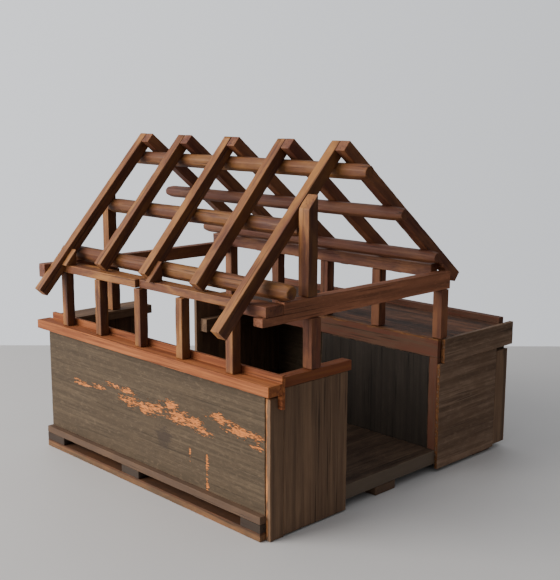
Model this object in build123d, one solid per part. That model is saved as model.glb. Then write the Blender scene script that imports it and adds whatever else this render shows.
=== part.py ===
from build123d import *
import math
import os

# Toy barn with an open timber roof, in millimetres.
# X runs to the right along the front, Y runs back along the long walls, Z is up.
# The sizes are given from the front left corner of the left runner, on the table.
# The finished pieces are moved so that the origin is the bottom centre of the whole barn.

# --- Base -----------------------------------------------------------------
BASE_DEPTH = 360.0            # runners, front to back
RUNNER_WIDTH = 24.0           # left runner, across
LOW_STRIP = 8.0               # left runner: lower strip, height
SLOT_HEIGHT = 8.5             # left runner: open slot between the strips
TOP_STRIP = 7.5               # left runner: upper strip, height
RUNNER_BLOCKS = ((0.0, 27.0), (184.0, 214.0), (BASE_DEPTH - 34.0, BASE_DEPTH))
FLOOR_WIDTH = 342.0           # floor board, between the left runner and the right wall
FLOOR_THICK = 15.0
FRONT_OVERHANG = 2.0          # floor and right side stand this far in front of the runners
MIDDLE_RUNNER_X = 158.0
MIDDLE_RUNNER_WIDTH = 31.0
RIGHT_RUNNER_WIDTH = 33.0
RIGHT_RUNNER_INSET = 6.0      # from the right wall's inner face

# --- Walls ----------------------------------------------------------------
LEFT_WALL_THICK = 18.0
RIGHT_WALL_THICK = 15.0
LEFT_WALL_HEIGHT = 114.0
RIGHT_WALL_BOTTOM = 6.0
RIGHT_WALL_TOP = 138.0
BOARD = 4.0                   # thin cladding boards on the front
BACK_BOARD = 5.0              # thin boards across the back
HEADER_THICK = 5.0            # board above the right front panel
INNER_BOARD = 6.0             # partition, door post and passage rail
CORNER_BOARD_X = 7.0
CORNER_BOARD_THICK = 6.0
CORNER_BOARD_TOP = 134.0
FRONT_LEFT_WIDTH = 85.0
FRONT_LEFT_BOTTOM = 1.2
FRONT_LEFT_TOP = 141.0
BACK_LEFT_WIDTH = 102.0
BACK_LEFT_TOP = 144.0
PASSAGE_X = 254.4             # passage side of the right bay
BACK_RIGHT_X = PASSAGE_X - 36.4
PANEL_BOTTOM = 3.6
PANEL_TOP = 120.0
RIGHT_CORNER_WIDTH = 22.0
RIGHT_CORNER_TOP = 116.0
HEADER_OVERHANG = 9.0         # front right header, past the right wall
PARTITION_TOP = 126.0
PARTITION_DEPTH = 167.6       # how far back the partition reaches, door post included
DOOR_POST_DEPTH = 10.4
DECK_TOP = 146.4
DECK_THICK = 3.6
LEDGER_DEPTH = 13.0
LEDGER_BOTTOM = 101.0
LEDGER_HEIGHT = 17.0

# --- Rails on top of the walls --------------------------------------------
BATTEN_HEIGHT = 10.0
BATTEN_WIDTH = 17.0
BATTEN_OVERHANG = 7.0         # batten stands out from the wall's outer face
RAIL_FRONT = -12.0            # front end of the batten and the inner rail
BATTEN_BACK = BASE_DEPTH + 11.0
INNER_RAIL_BACK = BASE_DEPTH + 6.0
INNER_RAIL_THICK = 4.0
INNER_RAIL_HEIGHT = 16.8
TAB_DROP = 14.4               # the inner rail's front end hangs down this far
GABLE_RAIL_HEIGHT = 10.0
FRONT_RAIL_DEPTH = 12.0
FRONT_RAIL_WIDTH = 94.0
BACK_RAIL_DEPTH = 34.0
OUTER_RAIL_INSET = 2.0
OUTER_RAIL_THICK = 9.0
OUTER_RAIL_HEIGHT = 15.0
OUTER_RAIL_BACK = BASE_DEPTH + 2.0

# --- Timber frame ---------------------------------------------------------
LEFT_STICK = 10.5             # square section of the left posts
STICK = 12.0                  # square section of the other posts and the tie beams' width
LEFT_POST_X = 4.0
LEFT_POST_HEIGHT = 60.0
LEFT_POSTS = (40.0, BASE_DEPTH - 45.6)       # front faces of the first and the last
LEFT_POST_SHARES = (0.0, 0.266, 0.51, 0.765, 1.0)
RIGHT_POST_X = PASSAGE_X + 2.6
RIGHT_POST_HEIGHT = 64.8
RIGHT_POSTS = (-3.6, BASE_DEPTH - 31.2)
RIGHT_POST_SHARES = (0.0, 0.256, 0.492, 0.74, 1.0)
LEFT_PLATE_HEIGHT = 9.0
LEFT_PLATE_INNER = 24.0       # inner edge of both left plates
FRONT_PLATE_OUTER = 8.0
PLATE_LAP = 6.0               # front plate's rest on the middle post
PLATE_JOINT_GAP = 1.0
END_BLOCK_WIDTH = 22.4
END_BLOCK_DEPTH = 33.6
END_BLOCK_HEIGHT = 10.0
RIGHT_PLATE_WIDTH = 12.0
RIGHT_PLATE_HEIGHT = 14.0
RIGHT_PLATE_BACK = BASE_DEPTH + 2.0
FIT_GAP = 1.2                 # clearance between the right plate and the front tie beam
TIE_FRONT = RIGHT_POSTS[0]    # front face of the front tie beam
TIE_LEFT = 0.0
TIE_RIGHT = PASSAGE_X + 16.6
BACK_TIE_LEFT = -15.0
BACK_TIE_DROP = 14.2          # underside, below the left plates' tops
JAMB_POST_X = 59.0
JAMB_POST_WIDTH = 13.0
GABLE_POST_X = 72.0
FRONT_QUEEN_X = 57.0
FRONT_QUEEN_DEPTH = 13.8
BACK_QUEEN_X = 69.6
FRONT_QUEEN_RISE = 5.0        # bevelled top above the gable rafter's upper edge
BACK_QUEEN_RISE = -10.0

# --- Roof -----------------------------------------------------------------
RIDGE_X = 117.6
RIDGE_RISE = 140.0            # ridge above the left plates' tops
RAFTER_DEPTH = 12.6           # square to the slope
RAFTER_THICK = 12.0           # front to back
PAIRS = (15.0, BASE_DEPTH - 45.0)            # planes where the outer pairs of rafters meet
PAIR_SHARES = (0.0, 0.243, 0.51, 0.767, 1.0)
SEAT_IN = 7.4                 # common rafters: foot corner inside the plate's outer edge
SEAT_BITE = 6.0               # back gable rafter: notch over the plate's outer corner
FRONT_SEAT_LIFT = 2.0         # front gable rafter: lower edge above that corner
FRONT_TAIL_X = -34.0
BACK_TAIL_X = -28.8
RIGHT_TAIL_X = PASSAGE_X + 42.0
RIGHT_SEAT_LIFT = 5.6         # right rafters' lower edge above the plate's inner corner
RIDGE_POLE_RADIUS = 7.8       # half the width across the flats of the whittled poles
LOWER_LEFT_RADIUS = 8.0
MIDDLE_LEFT_RADIUS = 8.0
MIDDLE_RIGHT_RADIUS = 7.1
LOWER_RIGHT_RADIUS = 6.6
POLE_GAP = 0.05               # between a pole and the rafters above it
RIDGE_POLE_GAP = 0.2          # the same at the ridge
LOWER_LEFT_X = 30.3
MIDDLE_LEFT_X = 74.6
MIDDLE_RIGHT_X = RIDGE_X + 0.42 * (PASSAGE_X - RIDGE_X)
LOWER_RIGHT_X = PASSAGE_X - 17.4
RIDGE_POLE_Y = (-20.0, BASE_DEPTH - 12.0)
MIDDLE_LEFT_FRONT = 22.0      # its back end butts against the back queen post's plane
MIDDLE_RIGHT_Y = (-18.0, BASE_DEPTH - 10.0)
LOWER_LEFT_Y = (-10.0, BASE_DEPTH - 3.6)
LOWER_RIGHT_Y = (-12.0, BASE_DEPTH - 5.0)

# --- Worked out from the sizes above --------------------------------------
def spread(ends, shares):
    """Places between two ends, given as shares of the way from the first to the last."""
    return [ends[0] + (ends[1] - ends[0]) * share for share in shares]


left_post_y = spread(LEFT_POSTS, LEFT_POST_SHARES)
right_post_y = spread(RIGHT_POSTS, RIGHT_POST_SHARES)
pair_y = spread(PAIRS, PAIR_SHARES)
floor_top = LOW_STRIP + SLOT_HEIGHT + TOP_STRIP
floor_bottom = floor_top - FLOOR_THICK
front = -FRONT_OVERHANG
back = BASE_DEPTH - FRONT_OVERHANG
floor_right = RUNNER_WIDTH + FLOOR_WIDTH
wall_right = floor_right + RIGHT_WALL_THICK
left_wall_x = RUNNER_WIDTH - LEFT_WALL_THICK
left_wall_top = floor_top + LEFT_WALL_HEIGHT
batten_x = left_wall_x - BATTEN_OVERHANG
batten_top = left_wall_top + BATTEN_HEIGHT
inner_rail_x = batten_x + BATTEN_WIDTH
inner_rail_in = inner_rail_x + INNER_RAIL_THICK
passage_in = PASSAGE_X + INNER_BOARD
back_face = back - BACK_BOARD
deck_right = floor_right + OUTER_RAIL_INSET
left_plate_bottom = batten_top + LEFT_POST_HEIGHT
left_plate_top = left_plate_bottom + LEFT_PLATE_HEIGHT
right_plate_bottom = DECK_TOP + RIGHT_POST_HEIGHT
right_plate_top = right_plate_bottom + RIGHT_PLATE_HEIGHT
plate_joint_y = left_post_y[2] + PLATE_LAP
ridge_z = left_plate_top + RIDGE_RISE
back_tie_bottom = left_plate_top - BACK_TIE_DROP
end_block_bottom = left_plate_top - END_BLOCK_HEIGHT
front_rail_top = FRONT_LEFT_TOP + GABLE_RAIL_HEIGHT
back_rail_top = BACK_LEFT_TOP + GABLE_RAIL_HEIGHT
tie_back = TIE_FRONT + STICK
tie_bottom = end_block_bottom - LOW_STRIP
back_tie_y = pair_y[-1] + RAFTER_THICK


def slope_angle(seat_x, seat_z):
    """Angle of a rafter whose upper edge starts at the ridge and whose lower edge meets the seat."""
    run = abs(RIDGE_X - seat_x)
    rise = ridge_z - seat_z
    return math.acos(RAFTER_DEPTH / math.hypot(run, rise)) - math.atan2(run, rise)


common_angle = slope_angle(LEFT_POST_X + SEAT_IN, left_plate_top)
back_gable_angle = slope_angle(LEFT_POST_X, left_plate_top - SEAT_BITE)
front_gable_angle = slope_angle(LEFT_POST_X, left_plate_top + FRONT_SEAT_LIFT)
right_angle = slope_angle(PASSAGE_X, right_plate_top + RIGHT_SEAT_LIFT)


def under_slope(x, angle, drop):
    """Height of the point at x that lies the given distance below a rafter's upper edge."""
    return ridge_z - abs(RIDGE_X - x) * math.tan(angle) - drop / math.cos(angle)


def block(x0, x1, y0, y1, z0, z1):
    """Straight board or stick between two opposite corners."""
    size = Box(x1 - x0, y1 - y0, z1 - z0)
    return Pos((x0 + x1) / 2, (y0 + y1) / 2, (z0 + z1) / 2) * size


def side_profile(points, y0, y1):
    """Stick whose outline is drawn in the XZ plane and runs from y0 back to y1."""
    face = make_face(Polyline([(x, y0, z) for x, z in points], close=True))
    return extrude(face, amount=y1 - y0, dir=(0, 1, 0))


def pole(x, z, radius, angle, span):
    """Whittled eight-sided pole with one flat square to the given direction."""
    outer = radius / math.cos(math.pi / 8)
    turns = [angle + math.pi / 8 + i * math.pi / 4 for i in range(8)]
    points = [(x + outer * math.cos(a), z + outer * math.sin(a)) for a in turns]
    return side_profile(points, span[0], span[1])


def base_pieces():
    """Floor board on its three runners."""
    low_top = LOW_STRIP
    slot_top = LOW_STRIP + SLOT_HEIGHT
    right_x = floor_right - RIGHT_RUNNER_INSET - RIGHT_RUNNER_WIDTH
    blocks = [block(0, RUNNER_WIDTH, a, b, low_top, slot_top) for a, b in RUNNER_BLOCKS]
    return {
        "left_runner_lower_strip": block(0, RUNNER_WIDTH, 0, BASE_DEPTH, 0, low_top),
        "left_runner_blocks": blocks[0] + blocks[1:],
        "left_runner_upper_strip": block(0, RUNNER_WIDTH, 0, BASE_DEPTH, slot_top, floor_top),
        "middle_runner": block(MIDDLE_RUNNER_X, MIDDLE_RUNNER_X + MIDDLE_RUNNER_WIDTH,
                               front, BASE_DEPTH, 0, floor_bottom),
        "right_runner": block(right_x, right_x + RIGHT_RUNNER_WIDTH,
                              front, BASE_DEPTH, 0, floor_bottom),
        "floor_board": block(RUNNER_WIDTH, floor_right, front, back, floor_bottom, floor_top),
    }


def inner_rail():
    """Thin upright rail behind the batten, with its front end hanging down."""
    tab_bottom = left_wall_top - TAB_DROP
    top = left_wall_top + INNER_RAIL_HEIGHT
    rail = block(inner_rail_x, inner_rail_in, RAIL_FRONT, INNER_RAIL_BACK, left_wall_top, top)
    tab = block(inner_rail_x, inner_rail_in, RAIL_FRONT, -CORNER_BOARD_THICK,
                tab_bottom, left_wall_top)
    return rail + tab


def left_side_pieces():
    """Long left wall, its corner board and the rails on top of it."""
    return {
        "left_wall": block(left_wall_x, RUNNER_WIDTH, 0, back, floor_top, left_wall_top),
        "front_left_corner_board": block(CORNER_BOARD_X, RUNNER_WIDTH, -CORNER_BOARD_THICK, 0,
                                         0, CORNER_BOARD_TOP),
        "left_batten": block(batten_x, inner_rail_x, RAIL_FRONT, BATTEN_BACK,
                             left_wall_top, batten_top),
        "left_inner_rail": inner_rail(),
    }


def gable_wall_pieces():
    """Front and back panels of the left bay, and the board across the back right."""
    left = RUNNER_WIDTH
    front_plane = front - BOARD
    return {
        "front_left_panel": block(left, left + FRONT_LEFT_WIDTH, front_plane, front,
                                  FRONT_LEFT_BOTTOM, FRONT_LEFT_TOP),
        "front_left_rail": block(inner_rail_in, inner_rail_in + FRONT_RAIL_WIDTH,
                                 front_plane, front_plane + FRONT_RAIL_DEPTH,
                                 FRONT_LEFT_TOP, front_rail_top),
        "back_left_panel": block(left, left + BACK_LEFT_WIDTH, back_face, back,
                                 floor_top, BACK_LEFT_TOP),
        "back_left_rail": block(inner_rail_in, left + BACK_LEFT_WIDTH, back - BACK_RAIL_DEPTH,
                                back, BACK_LEFT_TOP, back_rail_top),
        "back_right_panel": block(BACK_RIGHT_X, floor_right, back_face, back,
                                  floor_top, DECK_TOP),
        "back_ledger": block(BACK_RIGHT_X + INNER_BOARD, floor_right,
                             back_face - LEDGER_DEPTH, back_face,
                             LEDGER_BOTTOM, LEDGER_BOTTOM + LEDGER_HEIGHT),
    }


def right_bay_pieces():
    """Right bay: front, partition, outer wall and the loft deck over it."""
    post_back = front + DOOR_POST_DEPTH
    part_back = front + PARTITION_DEPTH
    front_plane = front - BOARD
    corner_x = wall_right + 1.0 - RIGHT_CORNER_WIDTH
    return {
        "door_post": block(PASSAGE_X, passage_in, front, post_back, floor_top, PARTITION_TOP),
        "partition_panel": block(PASSAGE_X, passage_in, post_back, part_back,
                                 floor_top, PARTITION_TOP),
        "passage_rail": block(PASSAGE_X, passage_in, front, back_face, PARTITION_TOP, DECK_TOP),
        "front_right_panel": block(PASSAGE_X, corner_x, front_plane, front,
                                   PANEL_BOTTOM, PANEL_TOP),
        "right_corner_board": block(corner_x, corner_x + RIGHT_CORNER_WIDTH, front_plane, front,
                                    RIGHT_WALL_BOTTOM, RIGHT_CORNER_TOP),
        "front_right_header": block(passage_in, wall_right + HEADER_OVERHANG,
                                    front - HEADER_THICK, front, PANEL_TOP, DECK_TOP),
        "right_wall": block(floor_right, wall_right, front, back, RIGHT_WALL_BOTTOM, RIGHT_WALL_TOP),
        "right_outer_rail": block(deck_right, deck_right + OUTER_RAIL_THICK, front,
                                  OUTER_RAIL_BACK, RIGHT_WALL_TOP,
                                  RIGHT_WALL_TOP + OUTER_RAIL_HEIGHT),
        "loft_deck": block(passage_in, deck_right, front, back_face,
                           DECK_TOP - DECK_THICK, DECK_TOP),
    }


def post_pieces():
    """Upright sticks on both sides and in the two gables."""
    pieces = {}
    for i, y in enumerate(left_post_y, start=1):
        pieces[f"left_post_{i}"] = block(LEFT_POST_X, LEFT_POST_X + LEFT_STICK, y, y + LEFT_STICK,
                                         batten_top, left_plate_bottom)
    for i, y in enumerate(right_post_y, start=1):
        top = tie_bottom if i == 1 else right_plate_bottom
        pieces[f"right_post_{i}"] = block(RIGHT_POST_X, RIGHT_POST_X + STICK, y, y + STICK,
                                          DECK_TOP, top)
    jamb_front = front - BOARD
    pieces["front_jamb_post"] = block(JAMB_POST_X, JAMB_POST_X + JAMB_POST_WIDTH, jamb_front,
                                      jamb_front + FRONT_RAIL_DEPTH, front_rail_top, tie_bottom)
    pieces["back_gable_post"] = block(GABLE_POST_X, GABLE_POST_X + STICK, back_tie_y,
                                      back_tie_y + STICK, back_rail_top, back_tie_bottom)
    return pieces


def plate_pieces():
    """Plates that carry the rafter feet."""
    block_x1 = LEFT_POST_X + END_BLOCK_WIDTH
    return {
        "left_plate_front": block(FRONT_PLATE_OUTER, LEFT_PLATE_INNER,
                                  left_post_y[0] + LEFT_STICK / 2, plate_joint_y,
                                  left_plate_bottom, left_plate_top),
        "left_plate_back": block(LEFT_POST_X, LEFT_PLATE_INNER, plate_joint_y + PLATE_JOINT_GAP,
                                 back_tie_y, left_plate_bottom, left_plate_top),
        "left_plate_end_block": block(LEFT_POST_X, block_x1, TIE_FRONT,
                                      TIE_FRONT + END_BLOCK_DEPTH,
                                      end_block_bottom, left_plate_top),
        "right_plate": block(PASSAGE_X, PASSAGE_X + RIGHT_PLATE_WIDTH, tie_back + FIT_GAP,
                             RIGHT_PLATE_BACK, right_plate_bottom, right_plate_top),
    }


def slope_pole(x, radius, angle, side, span):
    """Pole that lies against the undersides of one slope's rafters."""
    drop = RAFTER_DEPTH + POLE_GAP + radius
    return pole(x, under_slope(x, angle, drop), radius, math.pi / 2 - side * angle, span)


def ridge_pole():
    """Pole held between the undersides of both slopes at the ridge."""
    under_edge = RAFTER_DEPTH + RIDGE_POLE_GAP
    corner = (common_angle + right_angle) % (math.pi / 4) - math.pi / 8
    left_reach = RIDGE_POLE_RADIUS * math.cos(corner) / math.cos(math.pi / 8)
    right_drop = (under_edge + RIDGE_POLE_RADIUS) / math.cos(right_angle)
    left_drop = (under_edge + left_reach) / math.cos(common_angle)
    aside = (left_drop - right_drop) / (math.tan(right_angle) + math.tan(common_angle))
    z = ridge_z - aside * math.tan(right_angle) - right_drop
    right_flat = math.pi / 2 - right_angle
    return pole(RIDGE_X + aside, z, RIDGE_POLE_RADIUS, right_flat, RIDGE_POLE_Y)


def pole_pieces():
    """Whittled poles that lie under the rafters."""
    middle_left_y = (MIDDLE_LEFT_FRONT, back_tie_y)
    return {
        "ridge_purlin": ridge_pole(),
        "middle_left_purlin": slope_pole(MIDDLE_LEFT_X, MIDDLE_LEFT_RADIUS, common_angle,
                                         -1, middle_left_y),
        "middle_right_purlin": slope_pole(MIDDLE_RIGHT_X, MIDDLE_RIGHT_RADIUS, right_angle,
                                          1, MIDDLE_RIGHT_Y),
        "lower_left_purlin": slope_pole(LOWER_LEFT_X, LOWER_LEFT_RADIUS, common_angle,
                                        -1, LOWER_LEFT_Y),
        "lower_right_purlin": slope_pole(LOWER_RIGHT_X, LOWER_RIGHT_RADIUS, right_angle,
                                         1, LOWER_RIGHT_Y),
    }


def front_tie(tie_top):
    """Front tie beam: notched for the end block, bevelled under the right rafter."""
    notch_x = LEFT_POST_X + END_BLOCK_WIDTH
    pitch = math.tan(right_angle)
    under_ridge = ridge_z - RAFTER_DEPTH / math.cos(right_angle)
    bevel_x = RIDGE_X + (under_ridge - tie_top) / pitch
    bevel_z = under_ridge - (TIE_RIGHT - RIDGE_X) * pitch
    points = [(TIE_LEFT, tie_bottom), (TIE_RIGHT, tie_bottom), (TIE_RIGHT, bevel_z),
              (bevel_x, tie_top), (notch_x, tie_top), (notch_x, end_block_bottom),
              (TIE_LEFT, end_block_bottom)]
    return side_profile(points, TIE_FRONT, tie_back)


def queen_post(x, y0, y1, bottom, angle, rise):
    """Short post on a tie beam, its top cut to the gable rafter's slope."""
    left_top = under_slope(x, angle, 0) + rise
    right_top = under_slope(x + STICK, angle, 0) + rise
    points = [(x, bottom), (x + STICK, bottom), (x + STICK, right_top), (x, left_top)]
    return side_profile(points, y0, y1)


def tie_pieces(tie_top):
    """Tie beams across both gables and the queen posts on them."""
    return {
        "front_tie_beam": front_tie(tie_top),
        "back_tie_beam": block(BACK_TIE_LEFT, PASSAGE_X, back_tie_y, back_tie_y + STICK,
                               back_tie_bottom, tie_top),
        "front_queen_post": queen_post(FRONT_QUEEN_X, TIE_FRONT, TIE_FRONT + FRONT_QUEEN_DEPTH,
                                       tie_top, front_gable_angle, FRONT_QUEEN_RISE),
        "back_queen_post": queen_post(BACK_QUEEN_X, back_tie_y, back_tie_y + STICK,
                                      tie_top, back_gable_angle, BACK_QUEEN_RISE),
    }


def rafter_outline(side, angle, other_angle, length):
    """Outline of a rafter: top end flush with the other slope, tail end cut square."""
    reach = RAFTER_DEPTH / math.sin(angle + other_angle)
    run = (side * math.cos(angle), -math.sin(angle))
    drop = (-side * math.sin(angle) * RAFTER_DEPTH, -math.cos(angle) * RAFTER_DEPTH)
    tail = (RIDGE_X + run[0] * length, ridge_z + run[1] * length)
    return [(RIDGE_X, ridge_z), tail, (tail[0] + drop[0], tail[1] + drop[1]),
            (RIDGE_X - side * math.cos(other_angle) * reach,
             ridge_z - math.sin(other_angle) * reach)]


def left_pitch(index):
    """Angle of a left rafter and the place of its tail, or None where it ends on the plate."""
    if index == 0:
        return front_gable_angle, FRONT_TAIL_X
    if index == len(pair_y) - 1:
        return back_gable_angle, BACK_TAIL_X
    return common_angle, None


def left_rafter(index):
    """Left rafter: gable ones run past the plate, the others end on it."""
    y = pair_y[index]
    angle, tail_x = left_pitch(index)
    if tail_x is None:
        run = RIDGE_X - LEFT_POST_X - SEAT_IN
        length = run * math.cos(angle) + (ridge_z - left_plate_top) * math.sin(angle)
    else:
        length = (RIDGE_X - tail_x) / math.cos(angle)
    rafter = side_profile(rafter_outline(-1, angle, right_angle, length), y, y + RAFTER_THICK)
    if tail_x is not None:
        rafter = rafter - block(LEFT_POST_X, LEFT_PLATE_INNER, y - 1, y + RAFTER_THICK + 1,
                                left_plate_bottom, left_plate_top)
    return rafter


def right_rafter(index):
    """Right rafter, notched over the right plate."""
    y = pair_y[index]
    other = left_pitch(index)[0]
    length = (RIGHT_TAIL_X - RIDGE_X) / math.cos(right_angle)
    outline = rafter_outline(1, right_angle, other, length)
    seat = block(PASSAGE_X, PASSAGE_X + RIGHT_PLATE_WIDTH, y - RAFTER_THICK - 1, y + 1,
                 right_plate_bottom, right_plate_top)
    return side_profile(outline, y - RAFTER_THICK, y) - seat


def rafter_pieces():
    """Five pairs of rafters, each pair crossing side by side at the ridge."""
    pieces = {}
    for i in range(len(pair_y)):
        pieces[f"left_rafter_{i + 1}"] = left_rafter(i)
        pieces[f"right_rafter_{i + 1}"] = right_rafter(i)
    return pieces


def all_pieces():
    """Every piece of the barn by name, still placed from the left runner's corner."""
    poles = pole_pieces()
    tie_top = poles["lower_left_purlin"].bounding_box().min.Z
    pieces = {}
    for group in (base_pieces(), left_side_pieces(), gable_wall_pieces(), right_bay_pieces(),
                  post_pieces(), plate_pieces(), tie_pieces(tie_top), rafter_pieces(), poles):
        pieces.update(group)
    return pieces


def main():
    os.makedirs("parts", exist_ok=True)
    pieces = all_pieces()
    boxes = [piece.bounding_box() for piece in pieces.values()]
    middle_x = (min(b.min.X for b in boxes) + max(b.max.X for b in boxes)) / 2
    middle_y = (min(b.min.Y for b in boxes) + max(b.max.Y for b in boxes)) / 2
    bottom_z = min(b.min.Z for b in boxes)
    for name, piece in pieces.items():
        export_step(Pos(-middle_x, -middle_y, -bottom_z) * piece, f"parts/{name}.step")


main()
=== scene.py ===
import math
import random

import bmesh
import bpy
from bpy.props import FloatProperty, FloatVectorProperty, PointerProperty
from mathutils import Matrix, Vector, noise


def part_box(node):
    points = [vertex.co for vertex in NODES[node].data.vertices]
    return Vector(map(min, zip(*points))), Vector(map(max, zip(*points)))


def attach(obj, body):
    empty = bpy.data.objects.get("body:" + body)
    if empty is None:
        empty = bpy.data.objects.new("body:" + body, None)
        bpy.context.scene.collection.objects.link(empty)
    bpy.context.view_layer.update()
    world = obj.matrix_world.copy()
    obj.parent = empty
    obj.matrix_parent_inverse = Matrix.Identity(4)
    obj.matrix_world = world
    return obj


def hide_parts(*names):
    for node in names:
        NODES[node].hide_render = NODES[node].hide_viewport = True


bl_info = {
    "name": "Toy Barn With Open Roof",
    "version": (1, 0, 0),
    "blender": (4, 5, 0),
    "location": "View3D > Sidebar > Toy Barn",
    "description": "Turns the plain barn frame into worked, weathered and oiled wood on a stage",
    "category": "Object",
}

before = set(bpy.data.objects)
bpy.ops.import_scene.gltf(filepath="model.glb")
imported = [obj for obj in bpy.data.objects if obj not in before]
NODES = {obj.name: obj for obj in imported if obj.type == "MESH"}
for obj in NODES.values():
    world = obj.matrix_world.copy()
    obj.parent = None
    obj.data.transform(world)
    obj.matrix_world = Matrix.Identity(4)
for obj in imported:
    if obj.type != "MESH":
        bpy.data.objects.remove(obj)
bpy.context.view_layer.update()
MM = 0.001
X, Y, Z = Vector((1, 0, 0)), Vector((0, 1, 0)), Vector((0, 0, 1))

# Groups of like pieces, by node name.
RUNNERS = ("left_runner_lower_strip", "left_runner_upper_strip", "left_runner_blocks",
           "middle_runner", "right_runner")
RED_TIMBER = ("back_tie_beam", "left_plate_end_block", "front_jamb_post",
              "middle_right_purlin", "lower_right_purlin")
UPRIGHT_BOARDS = ("front_left_corner_board", "front_left_panel", "back_left_panel",
                  "partition_panel", "right_corner_board", "back_right_panel")
LEVEL_BOARDS = ("front_right_panel", "front_right_header", "back_left_rail", "back_ledger")
POSTS = ("front_jamb_post", "back_gable_post", "front_queen_post", "back_queen_post",
         *(f"left_post_{i}" for i in range(1, 6)), *(f"right_post_{i}" for i in range(1, 6)))
PLATES = ("left_plate_front", "left_plate_back", "left_plate_end_block", "right_plate",
          "front_tie_beam", "back_tie_beam")
RAFTERS = (*(f"left_rafter_{i}" for i in range(1, 6)), *(f"right_rafter_{i}" for i in range(1, 6)))
POLES = ("ridge_purlin", "middle_left_purlin", "middle_right_purlin",
         "lower_left_purlin", "lower_right_purlin")


# --- Settings a user would change -------------------------------------------
def length_setting(name, description, millimetres):
    """A length property, given in millimetres."""
    return FloatProperty(name=name, description=description, default=millimetres * MM,
                         min=0.0, unit="LENGTH")


def colour_setting(name, description, colour):
    """A colour property in linear red, green and blue."""
    return FloatVectorProperty(name=name, description=description, default=colour,
                               subtype="COLOR", size=3, min=0.0, max=1.0)


class BarnShape(bpy.types.PropertyGroup):
    """How the wood has been worked and worn."""
    board_edge: length_setting("Board edge", "Rounding along the edges of the boards", 0.45)
    stick_edge: length_setting("Stick edge", "Rounding along the edges of posts and rafters", 0.8)
    pole_edge: length_setting("Pole edge", "Rounding between the facets of the poles", 1.2)
    board_wave: length_setting("Board unevenness", "Depth of the hollows in the boards", 0.3)
    stick_wave: length_setting("Stick unevenness", "Depth of the hollows in the sticks", 0.7)
    pole_wave: length_setting("Pole unevenness", "Depth of the knife cuts in the poles", 1.1)
    pole_end: length_setting("Pole ends", "Length of the whittled ends of the poles", 8.0)
    chip: length_setting("Chips", "Depth of the chips along the edges", 1.2)
    cell_along: length_setting("Net along the grain", "Face length along the grain", 5.0)
    cell_across: length_setting("Net across the grain", "Face width across the grain", 3.2)


class BarnColours(bpy.types.PropertyGroup):
    """Colours of the wood finishes."""
    timber: colour_setting("Roof timber", "Oiled roof timber", (0.29, 0.103, 0.028))
    timber_dark: colour_setting("Roof timber grain", "Dark grain and oil stains",
                                (0.070, 0.019, 0.009))
    # The gold colours are partly worn wood and partly a painted highlight of the oil sheen.
    timber_gold: colour_setting("Roof timber gold", "Golden stretches of the roof timber, worn wood and painted sheen",
                                (0.50, 0.205, 0.044))
    red: colour_setting("Red timber", "Darker, redder timber of the right slope",
                        (0.215, 0.070, 0.034))
    red_gold: colour_setting("Red timber wear and sheen", "Worn stretches and painted sheen of the redder timber",
                             (0.33, 0.125, 0.045))
    rail: colour_setting("Dark rail", "Dark red rails and door post", (0.14, 0.046, 0.026))
    bare: colour_setting("Bare wood", "Reddish wood of the rails", (0.46, 0.155, 0.050))
    bare_dark: colour_setting("Bare wood grain", "Grain of the rails", (0.16, 0.045, 0.018))
    wall: colour_setting("Wall wood", "Weathered grey brown wall", (0.138, 0.094, 0.056))
    wall_dark: colour_setting("Wall grain", "Grain of the weathered wall", (0.066, 0.045, 0.027))
    worn: colour_setting("Worn wood", "Pale orange wood where the finish is gone",
                         (0.70, 0.23, 0.060))
    board: colour_setting("Stained board", "Dark stained boards", (0.240, 0.140, 0.080))
    board_dark: colour_setting("Stained board grain", "Grain of the stained boards",
                               (0.100, 0.058, 0.035))
    # This colour is darkened to paint the shade inside the passage; the runner blocks take it as
    # their grain.
    inner: colour_setting("Inner board", "Boards inside the passage", (0.041, 0.030, 0.022))
    floor: colour_setting("Floor wood", "Floor board", (0.105, 0.066, 0.042))
    floor_dark: colour_setting("Floor grain", "Grain of the floor", (0.024, 0.013, 0.008))
    deck: colour_setting("Loft deck", "Reddish brown loft deck", (0.215, 0.084, 0.040))
    strip: colour_setting("Runner strip", "Rubbed lower strip of the left runner",
                          (0.25, 0.112, 0.046))
    runner: colour_setting("Runner", "Dark runners under the floor", (0.115, 0.070, 0.048))
    # The runner blocks are darkened with painted shade from the slots they sit in.
    runner_block: colour_setting("Runner block", "Blocks in the left runner, darkened with painted shade",
                                 (0.050, 0.029, 0.020))
    tie: colour_setting("Front tie", "Front tie beam", (0.46, 0.175, 0.088))
    board_pale: colour_setting("Right boards", "Front boards right of the passage",
                               (0.320, 0.202, 0.132))


class BarnStage(bpy.types.PropertyGroup):
    """Floor, light and camera."""
    ground: colour_setting("Ground", "Pale floor under the barn", (0.60, 0.575, 0.555))
    backdrop: colour_setting("Backdrop", "Pale grey behind the barn", (0.86, 0.88, 0.92))
    ground_half: FloatProperty(name="Ground size", description="Half the width of the floor",
                               default=0.492, min=0.1, unit="LENGTH")
    lens: FloatProperty(name="Lens", description="Focal length in millimetres",
                        default=60.97, min=10.0, unit="CAMERA")
    turn: FloatProperty(name="Turn", description="How far the camera stands round to the left",
                        default=math.radians(-44.18), subtype="ANGLE")
    tilt: FloatProperty(name="Tilt", description="How far the camera looks down",
                        default=math.radians(10.69), subtype="ANGLE")
    roll: FloatProperty(name="Roll", description="Lean of the camera",
                        default=0.0021, subtype="ANGLE")
    eye: FloatVectorProperty(name="Eye", description="Place of the camera", unit="LENGTH",
                             default=(-0.7436, -0.7828, 0.3891), size=3)
    window: FloatProperty(name="Window light", description="Power of the main light in watts",
                          default=88.0, min=0.0, unit="POWER")
    fill: FloatProperty(name="Fill light", description="Power of the weak light in front",
                        default=1.0, min=0.0, unit="POWER")
    ambient: FloatProperty(name="Room light", description="Strength of the light all round",
                           default=0.85, min=0.0)


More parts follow.
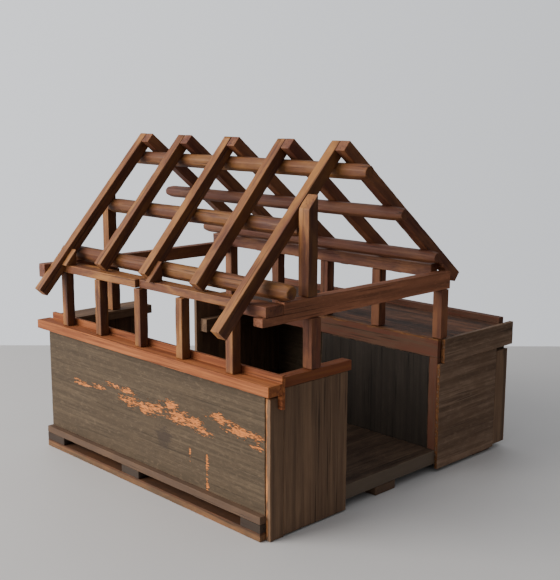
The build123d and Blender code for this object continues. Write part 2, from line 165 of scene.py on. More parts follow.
# --- Mesh work ---------------------------------------------------------------
HOLLOW_PITCH = 38.0        # hollows to the metre, across the grain
RIPPLE_PITCH = 3.7         # ripples to each hollow
GRAIN_STRETCH = 0.62       # how much longer the hollows are along the grain
CHIP_PITCH = 95.0          # chips to the metre
POLE_TIP = 0.68            # size of a whittled tip, against the whole pole


def luck(name):
    """A random source that always gives the same numbers for the same piece."""
    return random.Random("barn " + name)


def long_direction(bm):
    """Direction of the longest edge: the way the grain runs in a stick."""
    edge = max(bm.edges, key=lambda e: round(e.calc_length(), 6))
    return (edge.verts[1].co - edge.verts[0].co).normalized()


def cross_directions(along):
    """Two directions square to the grain; the first stays as level as it can."""
    side = Y if abs(along.y) < 0.5 else X
    across = (side - along * side.dot(along)).normalized()
    return across, along.cross(across).normalized()


def cut_net(bm, direction, step, rim):
    """Cuts the mesh square to a direction: once just inside each end and then every step."""
    reach = [v.co.dot(direction) for v in bm.verts]
    low, high = min(reach) + rim, max(reach) - rim
    if high <= low:
        return
    count = max(1, round((high - low) / step))
    for i in range(count + 1):
        place = low + (high - low) * i / count
        everything = [*bm.verts, *bm.edges, *bm.faces]
        bmesh.ops.bisect_plane(bm, geom=everything, dist=1e-6, plane_co=direction * place,
                               plane_no=direction)


def corner_amount(vert):
    """1 at a vertex on a rounded edge, 0 in the middle of a flat face."""
    normals = [f.normal for f in vert.link_faces]
    spread = min(a.dot(b) for a in normals for b in normals) if normals else 1.0
    return min(1.0, max(0.0, (0.97 - spread) * 8.0))


def roughen(bm, seed, wave, chip, along):
    """Presses hollows into the faces and chips into the edges. Nothing moves outwards."""
    bm.normal_update()
    wear = {v: corner_amount(v) for v in bm.verts}
    moves = []
    for v in bm.verts:
        lengthways = along * v.co.dot(along)
        place = (v.co - lengthways * GRAIN_STRETCH) * HOLLOW_PITCH + seed
        hollow = 0.5 + 0.5 * noise.noise(place)
        ripple = 0.5 + 0.5 * noise.noise(place * RIPPLE_PITCH)
        depth = wave * (0.72 * hollow + 0.28 * ripple)
        if wear[v] > 0:
            nick = noise.noise(v.co * CHIP_PITCH + seed) - 0.22
            depth += wear[v] * chip * max(0.0, nick) * 1.6
        moves.append((v, -v.normal * depth))
    for v, move in moves:
        v.co += move
    return wear


def whittle_ends(bm, along, reach, keep):
    """Draws both ends of a pole in towards its middle, as a knife leaves them."""
    low = min(v.co.dot(along) for v in bm.verts)
    high = max(v.co.dot(along) for v in bm.verts)
    ends = [v.co for v in bm.verts if v.co.dot(along) < low + MM]
    middle = sum(ends, Vector()) / len(ends)
    for v in bm.verts:
        place = v.co.dot(along)
        near = 1.0 - min(place - low, high - place) / reach
        if near <= 0:
            continue
        out = (v.co - middle) - along * (v.co - middle).dot(along)
        lopsided = 0.75 + 0.5 * noise.noise(out * 90.0 + along * place)
        v.co -= out * (1.0 - keep) * near * lopsided


def store(mesh, name, kind, values):
    """Writes one value per vertex into a named attribute."""
    layer = mesh.attributes.new(name, kind, "POINT")
    field = "vector" if kind == "FLOAT_VECTOR" else "value"
    flat = [c for value in values for c in value] if field == "vector" else values
    layer.data.foreach_set(field, flat)


def worked_copy(node, edge, wave, chip, grain=None, end=0.0):
    """Detailed stand-in for one CAD piece, with its grain laid along the wood."""
    bm = bmesh.new()
    bm.from_mesh(NODES[node].data)
    return worked_mesh(bm, node, edge, wave, chip, grain, end)


def worked_mesh(bm, node, edge, wave, chip, grain=None, end=0.0):
    """Rounds, cuts up and roughens a plain shape, and stores the fields its finish needs."""
    shape = bpy.context.scene.barn_shape
    rng = luck(node)
    bmesh.ops.remove_doubles(bm, verts=bm.verts, dist=1e-6)
    bmesh.ops.dissolve_limit(bm, angle_limit=math.radians(1.5), verts=bm.verts, edges=bm.edges,
                             delimit=set())
    along = grain.copy() if grain else long_direction(bm)
    across, through = cross_directions(along)
    bmesh.ops.bevel(bm, geom=bm.edges[:], offset=edge, offset_type="OFFSET", segments=2,
                    profile=0.6, affect="EDGES", clamp_overlap=True)
    rim = edge * 1.7
    cut_net(bm, along, shape.cell_along, rim)
    cut_net(bm, across, shape.cell_across, rim)
    cut_net(bm, through, shape.cell_across, rim)
    seed = Vector((rng.uniform(0, 50), rng.uniform(0, 50), rng.uniform(0, 50)))
    wear = roughen(bm, seed, wave, chip, along)
    if end:
        whittle_ends(bm, along, end, POLE_TIP)
    mesh = bpy.data.meshes.new(node + "_wood")
    bm.verts.index_update()
    grain_at = [Vector((v.co.dot(along), v.co.dot(across), v.co.dot(through))) + seed * 0.1
                for v in bm.verts]
    places = [v.co.copy() for v in bm.verts]
    worn = [wear[v] for v in bm.verts]
    bm.to_mesh(mesh)
    bm.free()
    mesh.shade_smooth()
    store(mesh, "grain", "FLOAT_VECTOR", grain_at)
    store(mesh, "wear", "FLOAT", worn)
    store(mesh, "tone", "FLOAT", [rng.uniform(0.0, 1.0)] * len(worn))
    return mesh, places


def mark(mesh, places, marked):
    """Stores 1 at the points that the test picks and 0 at the others."""
    store(mesh, "patch", "FLOAT", [1.0 if marked(p) else 0.0 for p in places])


def left_face(places, corner):
    """1 at the points of a piece on its left face, 0 elsewhere."""
    return [1.0 if p.x < corner.x + 0.4 * MM else 0.0 for p in places]


def mark_front(mesh, places):
    """Marks the front side of a stick, which the left timbers darken with painted shade."""
    front = min(p.y for p in places) + 1.0 * MM
    mark(mesh, places, lambda p: p.y < front)


def hang(mesh, node, finish, own_name=None):
    """Puts a finished mesh in place of its CAD piece, or beside it if it has its own name."""
    piece = bpy.data.objects.new(own_name or mesh.name, mesh)
    bpy.context.scene.collection.objects.link(piece)
    mesh.materials.append(finish)
    if not own_name:
        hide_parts(node)
    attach(piece, "root")


# --- Finishes ----------------------------------------------------------------
class Finish:
    """Short hand for drawing a material's node tree."""

    def __init__(self, name):
        self.material = bpy.data.materials.new(name)
        self.material.use_nodes = True
        self.tree = self.material.node_tree
        self.shader = self.tree.nodes["Principled BSDF"]

    def join(self, source, socket):
        """Links a socket, or sets a plain value on it."""
        if isinstance(source, bpy.types.NodeSocket):
            self.tree.links.new(source, socket)
        elif source is not None:
            socket.default_value = source

    def field(self, name, vector=False):
        """Attribute stored on the mesh."""
        node = self.tree.nodes.new("ShaderNodeAttribute")
        node.attribute_name = name
        return node.outputs["Vector" if vector else "Fac"]

    def scaled(self, vector, scale):
        """Vector stretched along its three axes."""
        node = self.tree.nodes.new("ShaderNodeVectorMath")
        node.operation = "MULTIPLY"
        self.join(vector, node.inputs[0])
        self.join(scale, node.inputs[1])
        return node.outputs[0]

    def cloud(self, vector, scale=1.0, detail=4.0, rough=0.55, bend=0.0):
        """Noise around 0.5."""
        node = self.tree.nodes.new("ShaderNodeTexNoise")
        self.join(vector, node.inputs["Vector"])
        node.inputs["Scale"].default_value = scale
        node.inputs["Detail"].default_value = detail
        node.inputs["Roughness"].default_value = rough
        node.inputs["Distortion"].default_value = bend
        return node.outputs["Fac"]

    def sum(self, operation, a, b=None, clamp=False):
        """One arithmetic step."""
        node = self.tree.nodes.new("ShaderNodeMath")
        node.operation = operation
        node.use_clamp = clamp
        self.join(a, node.inputs[0])
        self.join(b, node.inputs[1])
        return node.outputs[0]

    def share(self, value, amount):
        """Part of a value."""
        return self.sum("MULTIPLY", value, amount)

    def swing(self, value, amount):
        """How far a noise lies from its middle, made larger or smaller."""
        return self.share(self.sum("SUBTRACT", value, 0.5), amount)

    def window(self, value, low, high):
        """0 below low, 1 above high, smooth between."""
        node = self.tree.nodes.new("ShaderNodeMapRange")
        node.interpolation_type = "SMOOTHSTEP"
        self.join(value, node.inputs["Value"])
        node.inputs["From Min"].default_value = low
        node.inputs["From Max"].default_value = high
        return node.outputs["Result"]

    def blend(self, amount, first, second):
        """Mixes two colours."""
        node = self.tree.nodes.new("ShaderNodeMix")
        node.data_type = "RGBA"
        self.join(amount, node.inputs["Factor"])
        for source, name in ((first, "A"), (second, "B")):
            socket = next(s for s in node.inputs if s.name == name and s.type == "RGBA")
            plain = not isinstance(source, bpy.types.NodeSocket)
            self.join((*source, 1.0) if plain else source, socket)
        return next(s for s in node.outputs if s.type == "RGBA")

    def finish(self, colour, roughness, height, depth):
        """Links colour, roughness and bump to the shader."""
        bump = self.tree.nodes.new("ShaderNodeBump")
        bump.inputs["Strength"].default_value = 1.0
        bump.inputs["Distance"].default_value = depth
        self.join(height, bump.inputs["Height"])
        self.join(colour, self.shader.inputs["Base Color"])
        self.join(roughness, self.shader.inputs["Roughness"])
        self.join(bump.outputs["Normal"], self.shader.inputs["Normal"])
        return self.material


def scaled_colour(colour, factor):
    """Colour made darker or lighter."""
    return tuple(min(1.0, c * factor) for c in colour)


def wood(name, light, dark, *, fibre=1300.0, ring=150.0, stain=0.5, edge=(0.6, 0.3, 0.15),
         edge_amount=0.4, gloss=(0.42, 0.7), depth=0.35, crack=0.6, gold=None, shine_level=0.2,
         mottle=0.0, extra=None):
    """Wood with growth rings, fibres, cracks, stains and rubbed edges."""
    f = Finish(name)
    grain = f.field("grain", vector=True)
    tone = f.field("tone")
    wear = f.field("wear")
    bend = f.cloud(f.scaled(grain, (7.0, 30.0, 30.0)), detail=2.0)
    rings = f.cloud(f.scaled(grain, (5.0, ring, ring)), detail=3.0, bend=0.6)
    fibres = f.cloud(f.scaled(grain, (42.0, fibre, fibre)), detail=3.0, rough=0.65)
    blots = f.cloud(f.scaled(grain, (22.0, 42.0, 42.0)), detail=5.0, rough=0.6)
    split = f.cloud(f.scaled(grain, (9.0, 420.0, 420.0)), detail=2.0, rough=0.4)
    cracks = f.window(split, 0.30, 0.36)
    streak = f.sum("ADD", f.share(f.window(rings, 0.28, 0.72), 0.45),
                   f.share(fibres, 0.55))
    streak = f.sum("ADD", streak, f.swing(tone, 0.22))
    streak = f.sum("ADD", streak, f.swing(bend, 0.3), clamp=True)
    colour = f.blend(f.window(streak, 0.12, 0.88), dark, light)
    # Golden patches: partly lighter worn wood, partly a painted highlight of the oil sheen.
    if gold:
        warm = f.cloud(f.scaled(grain, (13.0, 60.0, 60.0)), detail=4.0, rough=0.6, bend=0.4)
        colour = f.blend(f.share(f.window(warm, 0.38, 0.62), 0.85), colour,
                         f.blend(fibres, scaled_colour(gold, 0.62), gold))
    if mottle:
        speck = f.cloud(f.scaled(grain, (120.0, 300.0, 300.0)), detail=5.0, rough=0.75)
        broad = f.cloud(f.scaled(grain, (16.0, 34.0, 34.0)), detail=6.0, rough=0.65, bend=0.5)
        colour = f.blend(f.share(f.window(broad, 0.40, 0.66), mottle), colour,
                         scaled_colour(dark, 1.15))
        colour = f.blend(f.share(f.window(speck, 0.50, 0.72), mottle * 0.8), colour,
                         scaled_colour(light, 1.25))
        colour = f.blend(f.share(f.window(speck, 0.48, 0.30), mottle * 0.7), colour,
                         scaled_colour(dark, 0.8))
    shade = f.share(f.window(blots, 0.42, 0.70), stain)
    colour = f.blend(shade, colour, scaled_colour(dark, 1.5))
    rub = f.cloud(f.scaled(grain, (60.0, 160.0, 160.0)), detail=3.0)
    rubbed = f.share(f.share(wear, f.window(rub, 0.38, 0.62)), edge_amount)
    colour = f.blend(rubbed, colour, edge)
    dents = f.share(f.sum("SUBTRACT", 1.0, cracks), crack)
    colour = f.blend(dents, colour, scaled_colour(dark, 0.35))
    height = f.sum("ADD", f.share(fibres, 0.45), f.share(rings, 0.55))
    height = f.sum("SUBTRACT", height, f.share(dents, 1.2))
    shine = f.sum("ADD", gloss[0], f.share(f.sum("ADD", fibres, blots),
                                         (gloss[1] - gloss[0])))
    if extra:
        colour, height = extra(f, grain, colour, height)
    f.shader.inputs["Specular IOR Level"].default_value = shine_level
    return f.finish(colour, shine, height, depth * MM)


def worn_patches(f, grain, colour, height):
    """Ragged orange patches where the wall's finish has flaked off, and fine scratches."""
    worn = bpy.context.scene.barn_colours.worn
    patch = f.field("patch")
    ragged = f.cloud(f.scaled(grain, (70.0, 260.0, 260.0)), detail=6.0, rough=0.7)
    fine = f.cloud(f.scaled(grain, (170.0, 1100.0, 1100.0)), detail=3.0, rough=0.6)
    level = f.sum("ADD", patch, f.swing(ragged, 2.6))
    level = f.sum("ADD", level, f.swing(fine, 1.6))
    bare = f.share(f.window(level, 0.42, 0.60), f.window(patch, 0.0, 0.12))
    tint = f.blend(f.window(fine, 0.35, 0.65), scaled_colour(worn, 0.55), worn)
    knot = f.sum("ADD", f.field("knot"), f.swing(ragged, 2.0))
    colour = f.blend(f.share(f.window(knot, 0.42, 0.70), 0.8), colour,
                     (0.050, 0.034, 0.024))
    colour = f.blend(bare, colour, tint)
    height = f.sum("SUBTRACT", height, f.share(bare, 1.4))
    return colour, height


def bare_side(f, grain, colour, height, pale=0.75):
    """Pale bare wood where the mesh says so, ragged along its border."""
    worn = bpy.context.scene.barn_colours.worn
    ragged = f.cloud(f.scaled(grain, (60.0, 300.0, 300.0)), detail=4.0)
    level = f.sum("ADD", f.field("patch"), f.swing(ragged, 2.4))
    bare = f.window(level, 0.62, 0.95)
    tint = f.blend(f.window(ragged, 0.35, 0.65), scaled_colour(worn, pale / 3), (
        worn[0] * pale, worn[1] * pale * 1.25, worn[2] * pale * 1.7))
    return f.blend(bare, colour, tint), height


def dull_side(f, grain, colour, height):
    """The same, only a little paler than the board."""
    return bare_side(f, grain, colour, height, pale=0.32)


def dusty_side(f, grain, colour, height):
    """Pale, dusty end grain on the side that the mesh says."""
    dusty = f.share(f.window(f.field("patch"), 0.45, 0.85), 0.8)
    return f.blend(dusty, colour, (0.150, 0.112, 0.080)), height


def painted_shade_side(f, grain, colour, height):
    """Painted shade, dark on the side that the mesh says: the shaded fronts of the left timbers
    and the top of the lower runner strip in its slot.
    """
    shade_amount = f.share(f.window(f.field("patch"), 0.45, 0.85), 0.62)
    return f.blend(shade_amount, colour, (0.045, 0.014, 0.008)), height


# --- Operators ----------------------------------------------------------------
class BARN_OT_base(bpy.types.Operator):
    """Makes the runners under the floor"""
    bl_idname = "barn.base"
    bl_label = "Runners"

    def execute(self, context):
        shape, paint = context.scene.barn_shape, context.scene.barn_colours
        dark = wood("Dark runner", paint.runner, paint.board_dark, stain=0.7,
                    edge=paint.strip, edge_amount=0.35)
        # The lower strip is rubbed wood, and its top face inside the slot gets painted shade.
        rubbed = wood("Rubbed runner", paint.strip, paint.wall_dark, stain=0.8,
                      edge=paint.worn, edge_amount=0.55, mottle=0.6, extra=painted_shade_side)
        # Blocks in the slots get painted shade through their dark colours.
        shaded_block = wood("Dark runner block", paint.runner_block, paint.inner, stain=0.6,
                     edge=paint.strip, edge_amount=0.3, mottle=0.5)
        looks = {"left_runner_lower_strip": rubbed, "left_runner_blocks": shaded_block}
        for node in RUNNERS:
            mesh, places = worked_copy(node, shape.board_edge, shape.board_wave, shape.chip, Y)
            # Top faces are marked; on the lower strip they take painted shade from the slot under
            # the upper strip.
            top = max(p.z for p in places) - 1.0 * MM
            mark(mesh, places, lambda p: p.z > top)
            hang(mesh, node, looks.get(node, dark))
        return {"FINISHED"}


class BARN_OT_floors(bpy.types.Operator):
    """Makes the floor board and the loft deck"""
    bl_idname = "barn.floors"
    bl_label = "Floors"

    def execute(self, context):
        shape, paint = context.scene.barn_shape, context.scene.barn_colours
        floor = wood("Floor board wood", paint.floor, paint.floor_dark, ring=140.0, stain=0.5,
                     mottle=0.5, extra=dusty_side)
        deck = wood("Loft deck wood", paint.deck, paint.floor_dark, ring=110.0, stain=0.5,
                    mottle=0.6)
        for node, grain, finish in (("floor_board", X, floor), ("loft_deck", Y, deck)):
            mesh, places = worked_copy(node, shape.board_edge, shape.board_wave, shape.chip,
                                       grain)
            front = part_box(node)[0].y + 0.6 * MM
            mark(mesh, places, lambda p: p.y < front)
            hang(mesh, node, finish)
        return {"FINISHED"}


# Worn flecks on the long wall: distance from its front end and height over its
# lower edge, then half length and half height, all in millimetres.
FLECKS = (
    (295, 63, 22, 3.0), (262, 66, 14, 2.6), (234, 73, 20, 2.6), (210, 72, 20, 3.6),
    (204, 62, 27, 5.0), (178, 61, 22, 6.0), (158, 66, 20, 5.0), (134, 74, 20, 4.2),
    (124, 63, 24, 6.5), (102, 64, 20, 7.0), (84, 58, 15, 4.0), (58, 77, 27, 4.2),
    (40, 69, 22, 4.0), (20, 72, 24, 4.0), (12, 62, 12, 2.5),
)
# Upright scratches on the same wall: distance, lowest point, highest point, half width.
SCRATCHES = ((80, 3, 36, 1.3), (107, 22, 24, 0.8), (107, 31, 37, 1.0))
# Dark knot on the same wall: distance from the front end, height over the lower
# edge and reach, all in millimetres.
KNOT = (148.0, 38.0, 24.0)
# How much a fleck rises for its length, towards the back.
FLECK_SLANT = 0.05


def patch_amount(place, corner):
    """How worn a point on the long wall is: 1 in the middle of a fleck, 0 or less outside."""
    along, up = (place.y - corner.y) / MM, (place.z - corner.z) / MM
    best = -1.0
    for y, z, half_length, half_height in FLECKS:
        dy = along - y
        away = math.hypot(dy / (half_length * 1.25), (up - z - dy * FLECK_SLANT)
                          / (half_height * 1.5))
        best = max(best, 1.0 - away)
    for y, low, high, half_width in SCRATCHES:
        past = max(low - up, up - high, 0.0)
        best = max(best, 1.0 - math.hypot((along - y) / (half_width * 2.6), past / 4.0))
    return best


def knot_amount(place, corner):
    """1 in the middle of the knot, falling to 0 at its reach."""
    away = math.hypot(place.y - corner.y - KNOT[0] * MM, place.z - corner.z - KNOT[1] * MM)
    return 1.0 - min(1.0, away / (KNOT[2] * MM))


class BARN_OT_long_walls(bpy.types.Operator):
    """Makes the two long walls, the left one with its worn patches"""
    bl_idname = "barn.long_walls"
    bl_label = "Long walls"

    def execute(self, context):
        shape, paint = context.scene.barn_shape, context.scene.barn_colours
        left = wood("Weathered wall with worn patches", paint.wall, paint.wall_dark,
                    ring=420.0, fibre=2400.0, stain=0.42, crack=0.35, mottle=0.75,
                    extra=worn_patches)
        right = wood("Weathered wall", paint.wall, paint.wall_dark, ring=420.0, fibre=2400.0,
                     stain=0.42, crack=0.35, mottle=0.75)
        for node, finish in (("left_wall", left), ("right_wall", right)):
            mesh, places = worked_copy(node, shape.board_edge, shape.board_wave, shape.chip, Y)
            low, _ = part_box(node)
            outside = low.x + 2.0 * MM
            store(mesh, "patch", "FLOAT",
                  [patch_amount(p, low) if p.x < outside else 0.0 for p in places])
            store(mesh, "knot", "FLOAT", [knot_amount(p, low) for p in places])
            hang(mesh, node, finish)
        return {"FINISHED"}


class BARN_OT_rails(bpy.types.Operator):
    """Makes the reddish rails on the walls and the door post"""
    bl_idname = "barn.rails"
    bl_label = "Rails and door post"

    def execute(self, context):
        shape, paint = context.scene.barn_shape, context.scene.barn_colours
        finish = wood("Reddish rail wood", paint.bare, paint.bare_dark, ring=200.0, stain=0.35,
                      edge=paint.worn, edge_amount=0.5)
        dark = wood("Dark red rail", paint.rail, paint.board_dark, ring=200.0, stain=0.5,
                    edge=paint.bare, edge_amount=0.35, extra=dull_side)
        middling = wood("Brown red rail", scaled_colour(paint.bare, 0.55), paint.bare_dark,
                        ring=200.0, stain=0.5, edge=paint.bare)
        rows = (("left_batten", Y, finish), ("left_inner_rail", Y, finish),
                ("front_left_rail", X, middling), ("passage_rail", Y, dark),
                ("right_outer_rail", Y, dark), ("door_post", Z, dark))
        for node, grain, look in rows:
            mesh, places = worked_copy(node, shape.board_edge, shape.board_wave, shape.chip, grain)
            _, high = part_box(node)
            rim = high.z - 3.0 * MM if node == "passage_rail" else high.z + MM
            mark(mesh, places, lambda p: p.z > rim)
            hang(mesh, node, look)
        return {"FINISHED"}


class BARN_OT_boards(bpy.types.Operator):
    """Makes the dark stained boards of the gables and the right bay"""
    bl_idname = "barn.boards"
    bl_label = "Stained boards"

    def execute(self, context):
        shape, paint = context.scene.barn_shape, context.scene.barn_colours
        finish = wood("Dark stained board", paint.board, paint.board_dark, ring=170.0,
                      stain=0.6, edge=scaled_colour(paint.strip, 0.8), edge_amount=0.35)
        # The partition inside the passage gets painted shade through its darkened colours.
        inner = wood("Inner board", paint.inner, scaled_colour(paint.inner, 0.45), ring=170.0,
                     stain=0.6, mottle=0.4)
        bare = wood("Stained board with a bare edge", paint.board, paint.board_dark, ring=170.0,
                    stain=0.6, extra=bare_side)
        dull = wood("Stained board with a rubbed edge", paint.board_pale, paint.board_dark,
                    ring=170.0, stain=0.6, mottle=0.4, extra=dull_side)
        looks = {"partition_panel": inner, "front_left_corner_board": bare,
                 "front_right_panel": dull, "front_right_header": dull}
        for node in UPRIGHT_BOARDS + LEVEL_BOARDS:
            grain = Z if node in UPRIGHT_BOARDS else X
            mesh, places = worked_copy(node, shape.board_edge, shape.board_wave, shape.chip, grain)
            low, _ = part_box(node)
            marks = left_face(places, low)
            if node == "front_left_corner_board":
                reach = 4.0 * MM
                marks = [m * max(0.0, min(1.0, (p.y - low.y) / reach))
                         for m, p in zip(marks, places)]
            store(mesh, "patch", "FLOAT", marks)
            hang(mesh, node, looks.get(node, finish))
        return {"FINISHED"}


def roof_finish(context, node):
    """The oiled timber of one side of the roof, made once."""
    red = node in RED_TIMBER or node.startswith("right_")
    if node == "front_tie_beam":
        tie = context.scene.barn_colours.tie
        return wood("Front tie timber", tie, scaled_colour(tie, 0.4), ring=230.0, mottle=0.5,
                    edge=tie, gloss=(0.30, 0.62), depth=0.5)
    pole = node in POLES
    name = ("Red" if red else "Oiled") + (" round pole" if pole else " roof timber")
    if name in bpy.data.materials:
        return bpy.data.materials[name]
    paint = context.scene.barn_colours
    light, gold = (paint.red, paint.red_gold) if red else (paint.timber, paint.timber_gold)
    if pole:
        light, gold = scaled_colour(light, 0.68), scaled_colour(gold, 0.62)
    # Left timbers darken their front sides with painted shade; the red ones do not.
    return wood(name, light, paint.timber_dark, ring=230.0, stain=0.5,
                edge=gold, edge_amount=0.45, gloss=(0.30, 0.62), depth=0.5,
                gold=gold, shine_level=0.4, mottle=0.3, extra=None if red else painted_shade_side)


class BARN_OT_posts(bpy.types.Operator):
    """Makes the posts of the two sides and the gables"""
    bl_idname = "barn.posts"
    bl_label = "Posts"

    def execute(self, context):
        shape = context.scene.barn_shape
        for node in POSTS:
            mesh, places = worked_copy(node, shape.stick_edge, shape.stick_wave, shape.chip, Z)
            mark_front(mesh, places)
            hang(mesh, node, roof_finish(context, node))
        return {"FINISHED"}


class BARN_OT_plates(bpy.types.Operator):
    """Makes the plates and the tie beams"""
    bl_idname = "barn.plates"
    bl_label = "Plates and tie beams"

    def execute(self, context):
        shape = context.scene.barn_shape
        for node in PLATES:
            grain = X if "tie_beam" in node else Y
            mesh, places = worked_copy(node, shape.stick_edge, shape.stick_wave, shape.chip,
                                       grain)
            mark_front(mesh, places)
            hang(mesh, node, roof_finish(context, node))
        return {"FINISHED"}


class BARN_OT_poles(bpy.types.Operator):
    """Makes the whittled poles under the rafters"""
    bl_idname = "barn.poles"
    bl_label = "Poles"

    def execute(self, context):
        shape = context.scene.barn_shape
        for node in POLES:
            mesh, _ = worked_copy(node, shape.pole_edge, shape.pole_wave, shape.chip, Y,
                                  end=shape.pole_end)
            hang(mesh, node, roof_finish(context, node))
        return {"FINISHED"}


def prism(outline, y0, y1):
    """Mesh between two copies of an outline drawn in the XZ plane."""
    bm = bmesh.new()
    face = bm.faces.new([bm.verts.new((x, y0, z)) for x, z in outline])
    grown = bmesh.ops.extrude_face_region(bm, geom=[face])["geom"]
    bmesh.ops.translate(bm, vec=(0, y1 - y0, 0),
                        verts=[g for g in grown if isinstance(g, bmesh.types.BMVert)])
    bmesh.ops.recalc_face_normals(bm, faces=bm.faces)
    return bm


# Cleats: the rafter they stand beside and the plate they stand on, then how far along
# from the plate's left side, length, height and thickness, in millimetres.
CLEATS = (("left_rafter_3", "left_plate_front", -6.0, 17.0, 20.0, 7.0),
          ("left_rafter_5", "left_plate_back", -5.0, 14.0, 17.0, 9.0))
CLEAT_WAVE = 0.3 * MM
CLEAT_GRAIN = Vector((1, 0, 1.1)).normalized()


class BARN_OT_cleats(bpy.types.Operator):
    """Makes the two short cleats nailed beside the feet of left rafters"""
    bl_idname = "barn.cleats"
    bl_label = "Cleats"

    def execute(self, context):
        shape = context.scene.barn_shape
        for rafter, plate, start, length, height, shade_amount in CLEATS:
            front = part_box(rafter)[0].y
            low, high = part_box(plate)
            x0, z0 = low.x + start * MM, high.z
            outline = [(x0, z0), (x0 + length * MM, z0), (x0 + length * MM, z0 + height * MM),
                       (x0 + 2.0 * MM, z0 + 3.0 * MM)]
            bm = prism(outline, front - shade_amount * MM, front)
            mesh, places = worked_mesh(bm, rafter + "_cleat", shape.stick_edge, CLEAT_WAVE,
                                       shape.chip, CLEAT_GRAIN)
            mark_front(mesh, places)
            hang(mesh, rafter, roof_finish(context, rafter), own_name=rafter + "_cleat")
        return {"FINISHED"}


class BARN_OT_rafters(bpy.types.Operator):
    """Makes the pairs of rafters"""
    bl_idname = "barn.rafters"
    bl_label = "Rafters"

    def execute(self, context):
        shape = context.scene.barn_shape
        for node in RAFTERS:
            mesh, places = worked_copy(node, shape.stick_edge, shape.stick_wave, shape.chip)
            mark_front(mesh, places)
            hang(mesh, node, roof_finish(context, node))
        return {"FINISHED"}


def plain_surface(name, colour, roughness, grainy):
    """Matt painted surface with a faint mottle."""
    f = Finish(name)
    place = f.tree.nodes.new("ShaderNodeTexCoord").outputs["Object"]
    mottle = f.cloud(place, scale=9.0, detail=5.0)
    speck = f.cloud(place, scale=600.0, detail=2.0)
    tint = f.blend(mottle, scaled_colour(colour, 0.97), scaled_colour(colour, 1.03))
    return f.finish(tint, roughness, speck, grainy * MM)


def area_light(name, place, target, width, height, power, colour):
    """Soft rectangular lamp aimed at a point."""
    lamp = bpy.data.lights.new(name, "AREA")
    lamp.shape = "RECTANGLE"
    lamp.size, lamp.size_y = width, height
    lamp.energy, lamp.color = power, colour
    holder = bpy.data.objects.new(name, lamp)
    holder.location = place
    holder.rotation_euler = (Vector(target) - Vector(place)).to_track_quat("-Z", "Y").to_euler()
    bpy.context.scene.collection.objects.link(holder)


GROUND_THICK = 20 * MM
GROUND_RIM = 3 * MM        # rounding of the slab's rim
GROUND_DROP = 0.2 * MM     # how far the slab lies under the runners
LIGHT_TARGET = (0.0, 0.0, 0.15)
# Each lamp: name, place, width, height, its power setting and its colour.
LAMPS = (("window_light", (-2.1, 1.1, 1.1), 2.0, 1.5, "window", (1.0, 0.985, 0.96)),
         ("fill_light", (-0.6, -1.9, 0.9), 1.6, 1.2, "fill", (0.95, 0.97, 1.0)))
BACKDROP_STRENGTH = 1.32


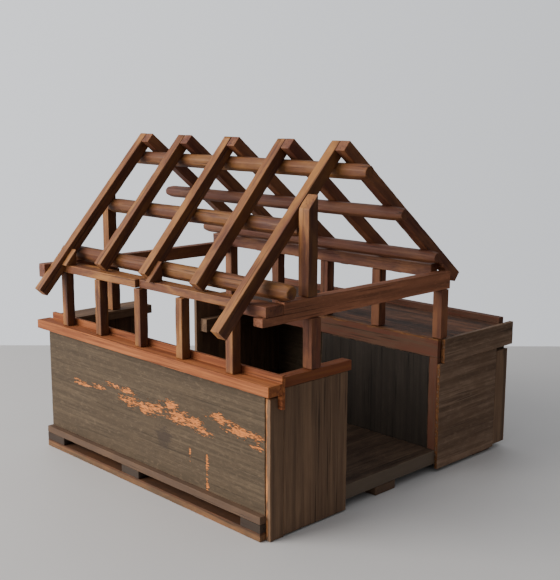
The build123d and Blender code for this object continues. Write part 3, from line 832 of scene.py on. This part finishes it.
class BARN_OT_stage(bpy.types.Operator):
    """Makes the floor, the lights, the pale surroundings and the camera"""
    bl_idname = "barn.stage"
    bl_label = "Stage"

    def execute(self, context):
        self.make_ground(context)
        self.make_lights(context)
        self.make_camera(context)
        return {"FINISHED"}

    def make_ground(self, context):
        """Square slab with a rounded rim, its top under the runners."""
        stage = context.scene.barn_stage
        half, shade_amount = stage.ground_half, GROUND_THICK
        bm = bmesh.new()
        bmesh.ops.create_cube(bm, size=1.0)
        bmesh.ops.scale(bm, vec=(half * 2, half * 2, shade_amount), verts=bm.verts)
        bmesh.ops.bevel(bm, geom=bm.edges[:], offset=GROUND_RIM, segments=4, affect="EDGES")
        bmesh.ops.translate(bm, vec=(0, 0, -shade_amount / 2), verts=bm.verts)
        mesh = bpy.data.meshes.new("ground")
        bm.to_mesh(mesh)
        bm.free()
        ground = bpy.data.objects.new("ground", mesh)
        ground.rotation_euler = (0, 0, stage.turn)
        ground.location.z = -GROUND_DROP
        context.scene.collection.objects.link(ground)
        mesh.materials.append(plain_surface("Pale ground", stage.ground, 0.55, 0.02))

    def make_lights(self, context):
        """One wide window light on the left, a weak fill in front, light from all round and a
        backdrop with painted light for the camera.
        """
        stage = context.scene.barn_stage
        for name, place, width, height, power, colour in LAMPS:
            area_light(name, place, LIGHT_TARGET, width, height, getattr(stage, power), colour)
        world = bpy.data.worlds.new("Pale room")
        world.use_nodes = True
        tree = world.node_tree
        tree.nodes.clear()
        pale = stage.backdrop
        # Camera rays see a backdrop with painted light: bright towards the window at the back
        # left, darker to the right.
        painted_backdrop = self.sided_light(tree, (-0.72, 0.69, 0.12), 0.4, scaled_colour(pale, 0.70), pale)
        painted_backdrop.inputs["Strength"].default_value = BACKDROP_STRENGTH
        lit = self.sided_light(tree, (-0.45, 0.75, 0.49), 0.9, (0.05, 0.05, 0.055),
                               (0.93, 0.96, 1.0))
        lit.inputs["Strength"].default_value = stage.ambient
        path = tree.nodes.new("ShaderNodeLightPath")
        mix = tree.nodes.new("ShaderNodeMixShader")
        out = tree.nodes.new("ShaderNodeOutputWorld")
        tree.links.new(path.outputs["Is Camera Ray"], mix.inputs[0])
        tree.links.new(lit.outputs[0], mix.inputs[1])
        tree.links.new(painted_backdrop.outputs[0], mix.inputs[2])
        tree.links.new(mix.outputs[0], out.inputs["Surface"])
        context.scene.world = world

    def sided_light(self, tree, towards, reach, dim, bright):
        """Surroundings that fade from dim to bright towards one side of the room."""
        way = tree.nodes.new("ShaderNodeTexCoord")
        lean = tree.nodes.new("ShaderNodeVectorMath")
        lean.operation = "DOT_PRODUCT"
        lean.inputs[1].default_value = towards
        fade = tree.nodes.new("ShaderNodeMapRange")
        fade.inputs["From Min"].default_value = -reach
        fade.inputs["From Max"].default_value = reach
        shade = tree.nodes.new("ShaderNodeMix")
        shade.data_type = "RGBA"
        shade.inputs[6].default_value = (*dim, 1.0)
        shade.inputs[7].default_value = (*bright, 1.0)
        glow = tree.nodes.new("ShaderNodeBackground")
        tree.links.new(way.outputs["Generated"], lean.inputs[0])
        tree.links.new(lean.outputs["Value"], fade.inputs["Value"])
        tree.links.new(fade.outputs["Result"], shade.inputs[0])
        tree.links.new(shade.outputs[2], glow.inputs["Color"])
        return glow

    def make_camera(self, context):
        """Camera low at the barn's front left corner."""
        stage = context.scene.barn_stage
        lens = bpy.data.cameras.new("camera")
        lens.lens = stage.lens
        lens.sensor_width = 36.0
        camera = bpy.data.objects.new("camera", lens)
        turned = Matrix.Rotation(stage.turn, 4, "Z")
        tilted = Matrix.Rotation(math.pi / 2 - stage.tilt, 4, "X")
        rolled = Matrix.Rotation(stage.roll, 4, "Z")
        camera.matrix_world = Matrix.Translation(stage.eye) @ turned @ tilted @ rolled
        context.scene.collection.objects.link(camera)
        context.scene.camera = camera


class BARN_PT_panel(bpy.types.Panel):
    """Settings and makers of the toy barn"""
    bl_idname = "BARN_PT_panel"
    bl_label = "Toy Barn"
    bl_space_type = "VIEW_3D"
    bl_region_type = "UI"
    bl_category = "Toy Barn"

    def draw(self, context):
        for group in (context.scene.barn_shape, context.scene.barn_colours,
                      context.scene.barn_stage):
            box = self.layout.box()
            for name in group.__annotations__:
                box.prop(group, name)
        for maker in MAKERS:
            self.layout.operator(maker.bl_idname)


GROUPS = {"barn_shape": BarnShape, "barn_colours": BarnColours, "barn_stage": BarnStage}
MAKERS = (BARN_OT_base, BARN_OT_floors, BARN_OT_long_walls, BARN_OT_rails, BARN_OT_boards,
          BARN_OT_posts, BARN_OT_plates, BARN_OT_poles, BARN_OT_rafters,
          BARN_OT_cleats, BARN_OT_stage)


def register():
    """Registers the settings, the makers and the panel."""
    for kind in (*GROUPS.values(), *MAKERS, BARN_PT_panel):
        bpy.utils.register_class(kind)
    for name, kind in GROUPS.items():
        setattr(bpy.types.Scene, name, PointerProperty(type=kind))


def unregister():
    """Takes everything away again."""
    for name in GROUPS:
        delattr(bpy.types.Scene, name)
    for kind in (BARN_PT_panel, *reversed(MAKERS), *reversed(GROUPS.values())):
        bpy.utils.unregister_class(kind)


def main():
    """Makes the whole barn and its stage."""
    register()
    for maker in MAKERS:
        family, action = maker.bl_idname.split(".")
        getattr(getattr(bpy.ops, family), action)()
    bpy.context.view_layer.update()


if __name__ == "__main__":
    main()
